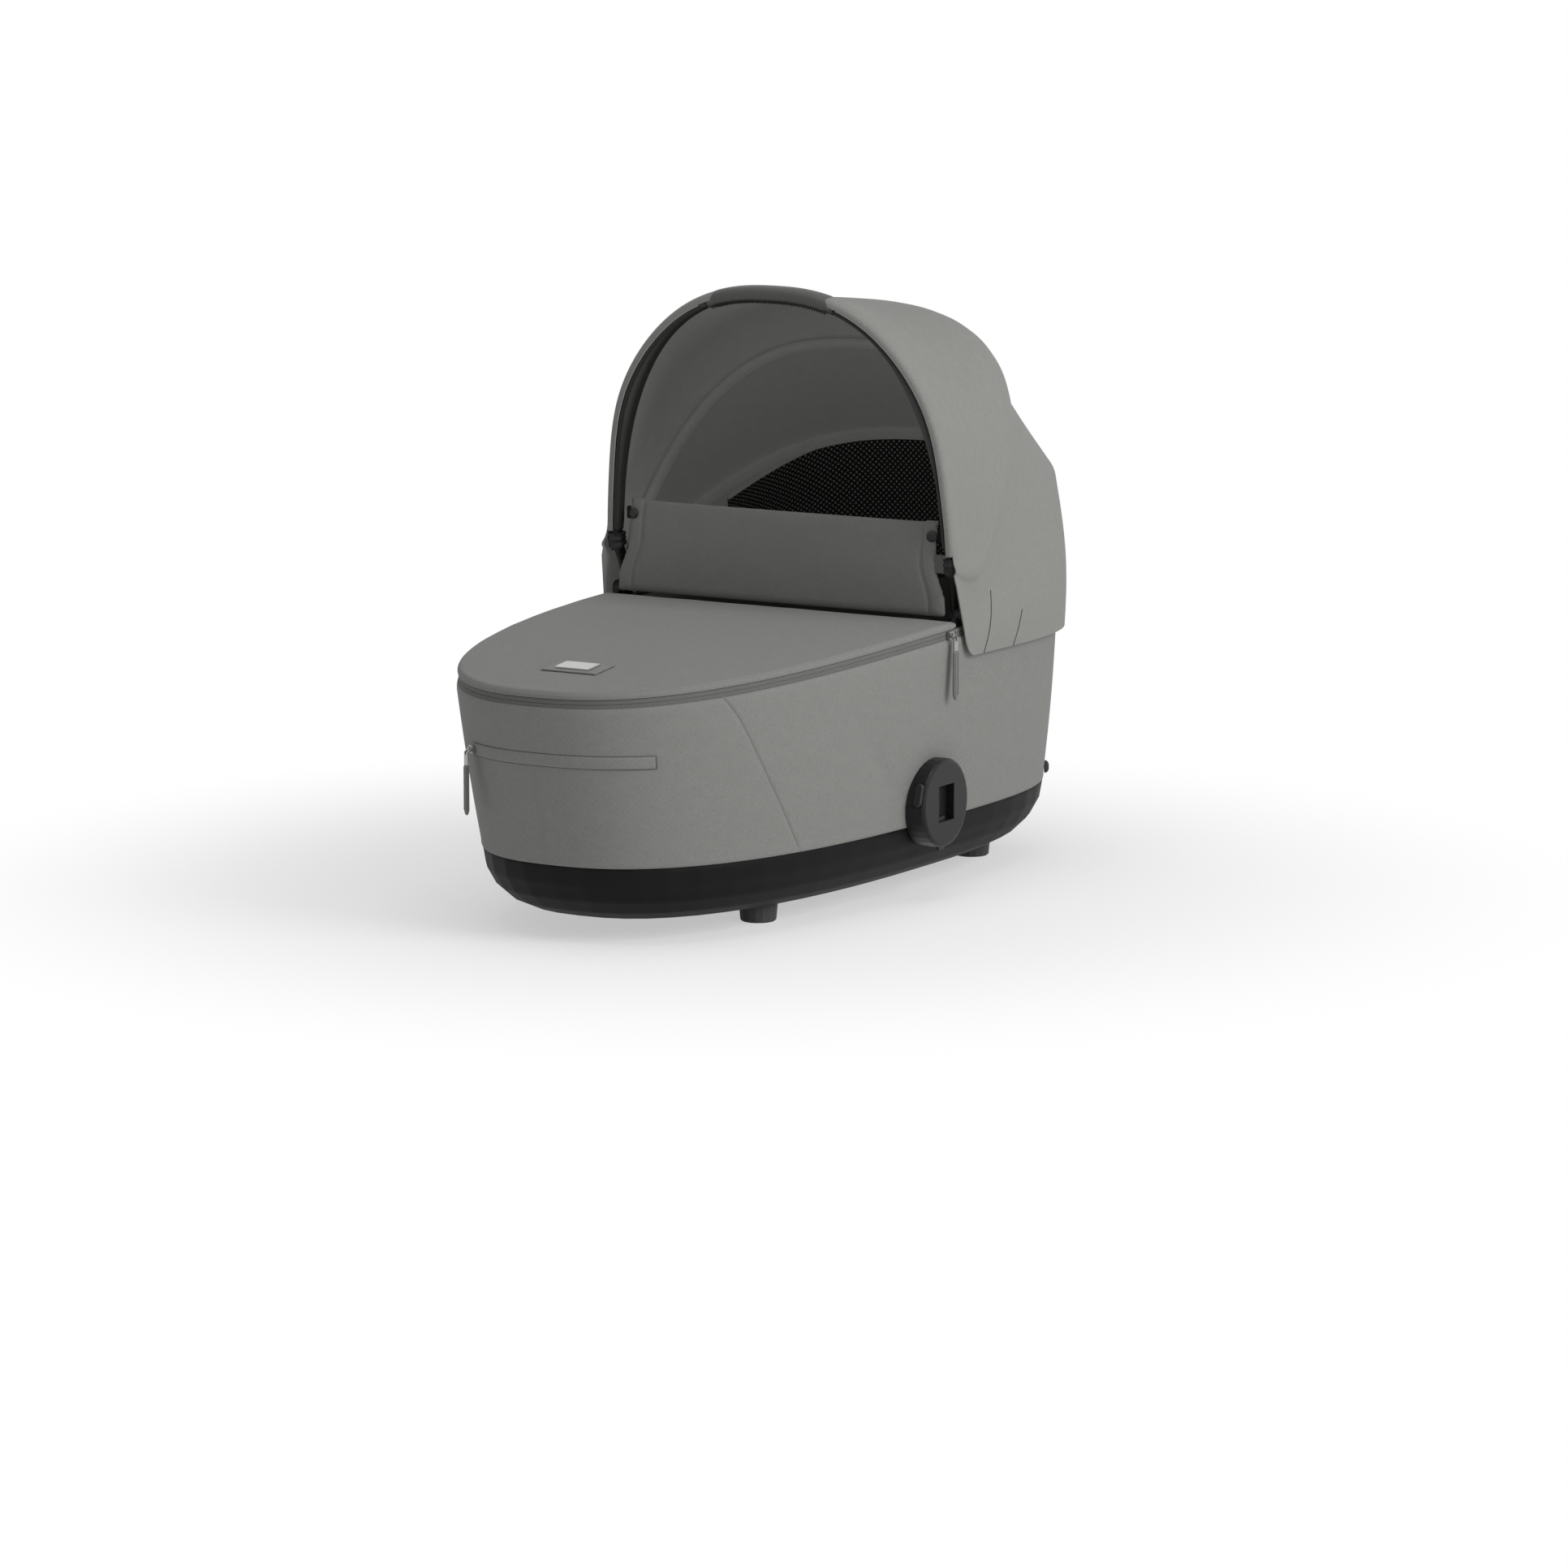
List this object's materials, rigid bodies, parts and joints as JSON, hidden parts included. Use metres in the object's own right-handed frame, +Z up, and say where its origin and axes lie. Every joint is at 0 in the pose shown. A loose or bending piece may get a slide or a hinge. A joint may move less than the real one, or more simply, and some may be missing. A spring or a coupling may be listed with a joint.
{
  "type": "carrycot",
  "caption": "Oval carrycot with a hard lower hull, fabric sides, zipped apron, upright wind flap, folding hood with a carrying grip, and a chassis adapter on each side.",
  "frame": {"origin": "centre of the bounding box at the bottoms of the feet", "axes": "+X to the right seen from the foot end, +Y from the foot end to the head end, +Z up"},
  "size_m": [0.4302, 0.7988, 0.5963],
  "materials": {
    "hull": "fine-grained moulded plastic, black",
    "foot": "matt grey-black rubber",
    "screw": "zinc-plated steel",
    "body_fabric": "tightly woven grey fabric",
    "board": "plain stiff board",
    "frame": "black moulded plastic",
    "lining": "soft grey lining",
    "zip_band": "grey zip tape with a covered coil",
    "mattress": "light quilted cover over foam",
    "apron_fabric": "tightly woven grey fabric",
    "patch": "smooth grey patch",
    "metal": "satin metal",
    "hood_fabric": "tightly woven grey fabric",
    "bow": "black moulded plastic",
    "boot": "ribbed black rubber",
    "grip": "dark grey stitched grip cover",
    "mesh": "black open mesh",
    "flap_fabric": "darker grey woven fabric",
    "snap": "black snap cap",
    "strap": "black webbing",
    "adapter": "black moulded plastic",
    "button": "smooth black plastic",
    "latch": "dark moulded plastic",
    "welt": "folded grey fabric welt",
    "tab": "grey pull tab",
    "stud": "black moulded stud"
  },
  "bodies": {
    "base": {"hull": "hull", "body_cover": "body_fabric", "side_board": "board", "rim_frame": "frame", "rim_zip_band": "zip_band", "inner_lining": "lining", "floor_board": "board", "mattress": "mattress", "apron": "apron_fabric", "badge_patch": "patch", "badge_plate": "metal", "hood_skirt": "hood_fabric", "rear_bow": "bow", "hinge_bracket_left": "bow", "hinge_bracket_right": "bow", "hinge_pin_left": "bow", "hinge_pin_right": "bow", "mesh_window": "mesh", "adapter_left": "adapter", "adapter_right": "adapter", "adapter_screw_left_front": "screw", "adapter_screw_left_back": "screw", "adapter_screw_right_front": "screw", "adapter_screw_right_back": "screw", "rim_zip_slider": "metal", "pocket_slider": "metal", "pocket_welt": "welt", "rear_stud_left": "stud", "rear_stud_right": "stud", "foot_front_left": "foot", "foot_screw_front_left": "screw", "foot_front_right": "foot", "foot_screw_front_right": "screw", "foot_back_left": "foot", "foot_screw_back_left": "screw", "foot_back_right": "foot", "foot_screw_back_right": "screw"},
    "mid_bow": {"mid_bow": "bow", "hood_slope": "hood_fabric"},
    "front_bow": {"front_bow": "bow", "bow_sleeve_left": "hood_fabric", "bow_sleeve_right": "hood_fabric", "bow_boot_left": "boot", "bow_boot_right": "boot", "handle_grip": "grip", "snap_strap_left": "strap", "snap_strap_right": "strap", "hood_dome": "hood_fabric"},
    "wind_flap": {"wind_flap": "flap_fabric", "flap_snap_left": "snap", "flap_snap_right": "snap"},
    "rim_pull": {"rim_zip_pull": "metal", "rim_zip_tab": "tab"},
    "pocket_pull": {"pocket_pull": "metal", "pocket_tab": "tab"},
    "button_left": {"release_button_left": "button"},
    "button_right": {"release_button_right": "button"},
    "latch_left": {"latch_bar_left": "latch"},
    "latch_right": {"latch_bar_right": "latch"}
  },
  "joints": [
    {"name": "mid_fold", "type": "hinge", "parent": "base", "child": "mid_bow", "pos_m": [0, 0.073, 0.277], "axis": [-1, 0, 0], "range_deg": [0, 18], "deforming": ["hood_slope"]},
    {"name": "front_fold", "type": "hinge", "parent": "mid_bow", "child": "front_bow", "pos_m": [0, 0.073, 0.277], "axis": [-1, 0, 0], "range_deg": [0, 28], "deforming": ["hood_dome"]},
    {"name": "flap_turn", "type": "hinge", "parent": "base", "child": "wind_flap", "pos_m": [0, 0.0553, 0.2756], "axis": [1, 0, 0], "range_deg": [0, 84]},
    {"name": "rim_pull_swing", "type": "hinge", "parent": "base", "child": "rim_pull", "pos_m": [0.20763, 0.03894, 0.26253], "axis": [-0.014, -0.9999, 0], "range_deg": [0, 118]},
    {"name": "pocket_pull_swing", "type": "hinge", "parent": "base", "child": "pocket_pull", "pos_m": [-0.08609, -0.37447, 0.1832], "axis": [-0.8668, 0.4986, 0], "range_deg": [0, 118]},
    {"name": "button_left_press", "type": "slide", "parent": "base", "child": "button_left", "axis": [0, 0.9563, -0.2924], "range_m": [0, 0.004], "stiffness_N_per_m": 600, "springref_m": -0.001},
    {"name": "latch_left_draw", "type": "slide", "parent": "base", "child": "latch_left", "axis": [0, 0, -1], "range_m": [0, 0.004]},
    {"name": "button_right_press", "type": "slide", "parent": "base", "child": "button_right", "axis": [0, 0.9563, -0.2924], "range_m": [0, 0.004], "stiffness_N_per_m": 600, "springref_m": -0.001},
    {"name": "latch_right_draw", "type": "slide", "parent": "base", "child": "latch_right", "axis": [0, 0, -1], "range_m": [0, 0.004]}
  ],
  "couplings": [
    {"joint": "front_fold", "follows": "mid_fold", "ratio": 1.5555},
    {"joint": "latch_left_draw", "follows": "button_left_press", "ratio": 1},
    {"joint": "latch_right_draw", "follows": "button_right_press", "ratio": 1}
  ]
}
